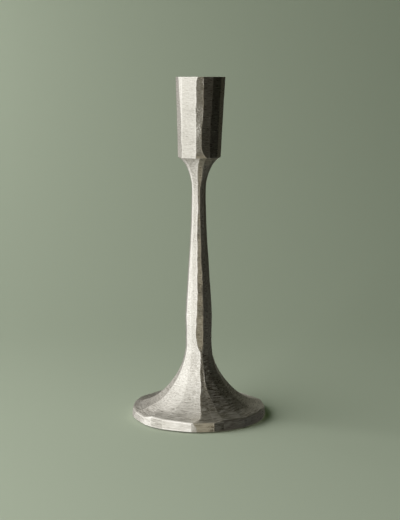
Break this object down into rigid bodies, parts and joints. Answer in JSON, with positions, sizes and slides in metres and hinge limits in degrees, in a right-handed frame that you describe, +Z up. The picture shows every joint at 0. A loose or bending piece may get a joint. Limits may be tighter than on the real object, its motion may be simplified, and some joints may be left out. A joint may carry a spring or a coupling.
{
  "type": "candlestick",
  "caption": "Hand-faceted metal taper candlestick: round flared foot, slim bellied stem and tapering candle cup, bolted together from below.",
  "frame": {"origin": "middle of the footprint, on the plane the pads stand on", "axes": "+Z up along the stem, -Y the front, +X to the right seen from the front"},
  "size_m": [0.091, 0.0914, 0.23],
  "materials": {
    "silver_metal": "cast, hand-faceted and brushed across, warm silver",
    "zinc_steel": "bright zinc-plated steel",
    "pad_rubber": "matt dark self-adhesive pad"
  },
  "bodies": {
    "root": {"foot": "silver_metal", "stem": "silver_metal", "candle_cup": "silver_metal", "foot_bolt": "zinc_steel", "flat_washer": "zinc_steel", "lock_washer": "zinc_steel", "cup_stud": "zinc_steel", "foot_pad_1": "pad_rubber", "foot_pad_2": "pad_rubber", "foot_pad_3": "pad_rubber", "foot_pad_4": "pad_rubber"}
  },
  "joints": []
}
